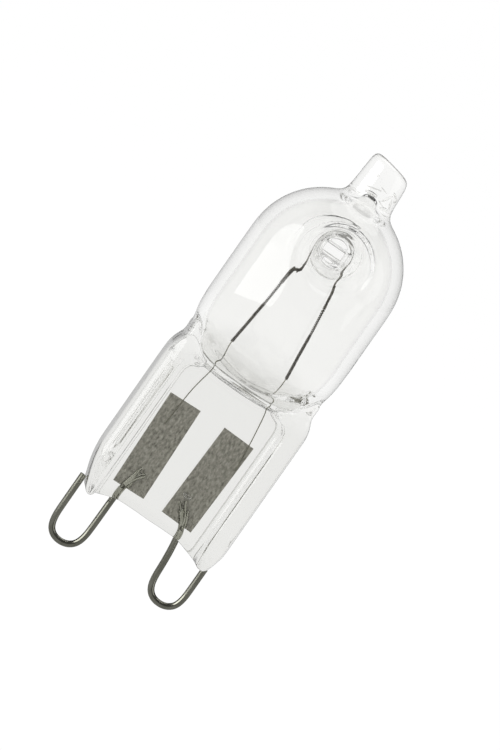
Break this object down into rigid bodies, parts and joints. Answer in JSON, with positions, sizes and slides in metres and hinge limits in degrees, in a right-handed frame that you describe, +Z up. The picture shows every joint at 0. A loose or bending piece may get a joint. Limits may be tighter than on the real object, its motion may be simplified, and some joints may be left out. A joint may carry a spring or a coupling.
{
  "type": "halogen capsule bulb",
  "caption": "Clear quartz capsule bulb with a sealed tip, a pinched flat foot with two foils and two looped wire contacts.",
  "frame": {"origin": "middle of the web's lower edge, where the bulb seats in its holder", "axes": "+Z up the bulb's axis to the sealed tip, X across the two contacts, Y through the flat of the pinch"},
  "size_m": [0.0132, 0.013, 0.0395],
  "materials": {
    "quartz_glass": "clear fused quartz, flame polished",
    "tungsten": "dark matt drawn tungsten",
    "lead_wire": "fine dark drawn wire",
    "seal_foil": "dark grey-olive rolled foil, slightly crinkled",
    "contact_wire": "bright drawn wire"
  },
  "bodies": {
    "root": {"quartz_envelope": "quartz_glass", "filament": "tungsten", "inner_lead_left": "lead_wire", "inner_lead_right": "lead_wire", "seal_foil_left": "seal_foil", "seal_foil_right": "seal_foil", "contact_pin_left": "contact_wire", "contact_pin_right": "contact_wire"}
  },
  "joints": []
}
